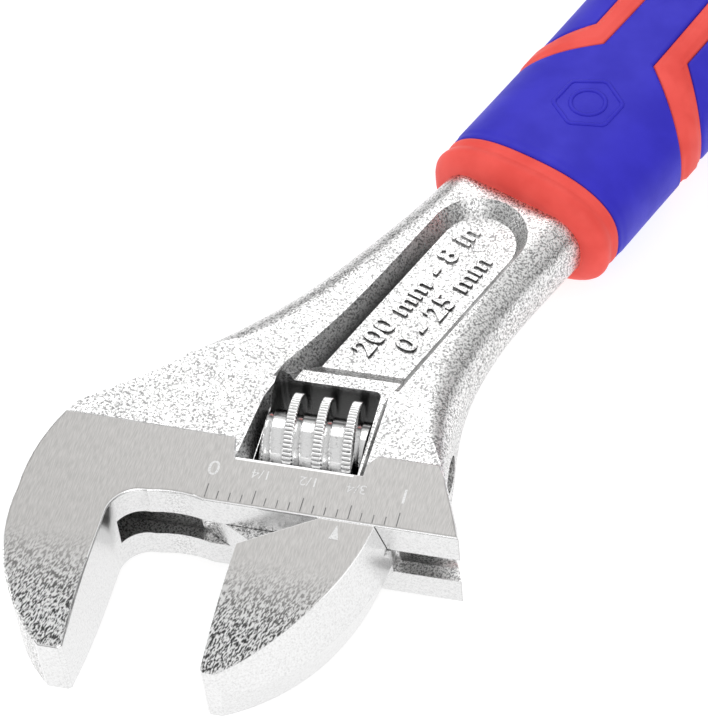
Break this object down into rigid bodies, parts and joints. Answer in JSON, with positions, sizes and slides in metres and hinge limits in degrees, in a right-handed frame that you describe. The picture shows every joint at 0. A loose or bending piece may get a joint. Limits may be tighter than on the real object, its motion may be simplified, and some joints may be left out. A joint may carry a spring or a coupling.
{
  "type": "adjustable wrench",
  "caption": "Adjustable open-end wrench with a sliding jaw, thumb-turned worm, forged I-beam neck and two-colour moulded grip with a hanging hole.",
  "frame": {"origin": "middle of the fixed jaw's gripping face, on the mid plane of the head", "axes": "+X out of the fixed jaw's face, the way the movable jaw opens; +Y from the jaw tips towards the handle, which leans 67.5 degrees from +X; +Z out of the graduated face"},
  "size_m": [0.1035, 0.1854, 0.0184],
  "materials": {
    "body_chrome": "pearl chrome over the forging, with ground satin faces beside the slide",
    "jaw_chrome": "ground satin faces, bright chrome back",
    "worm_chrome": "bright chrome with a knurled crest",
    "pin_steel": "plain turned steel",
    "spring_steel": "drawn spring wire",
    "grip_red": "matt moulded polypropylene",
    "grip_blue": "soft matt thermoplastic rubber"
  },
  "bodies": {
    "handle": {"wrench_body": "body_chrome", "worm_pin": "pin_steel", "worm_spring": "spring_steel", "grip_core": "grip_red", "grip_front_panel": "grip_blue", "grip_side_panel_left": "grip_blue", "grip_side_panel_right": "grip_blue"},
    "jaw": {"movable_jaw": "jaw_chrome"},
    "worm": {"adjusting_worm": "worm_chrome"}
  },
  "joints": [
    {"name": "jaw_slide", "type": "slide", "parent": "handle", "child": "jaw", "axis": [1, 0, 0], "range_m": [-0.01795, 0.0074]},
    {"name": "worm_spin", "type": "hinge", "parent": "handle", "child": "worm", "pos_m": [0.02328, 0.02799, 0], "axis": [1, 0, 0], "range_deg": [-670, 1620]}
  ],
  "couplings": [
    {"joint": "worm_spin", "follows": "jaw_slide", "rad_per_m": -1570.8}
  ]
}
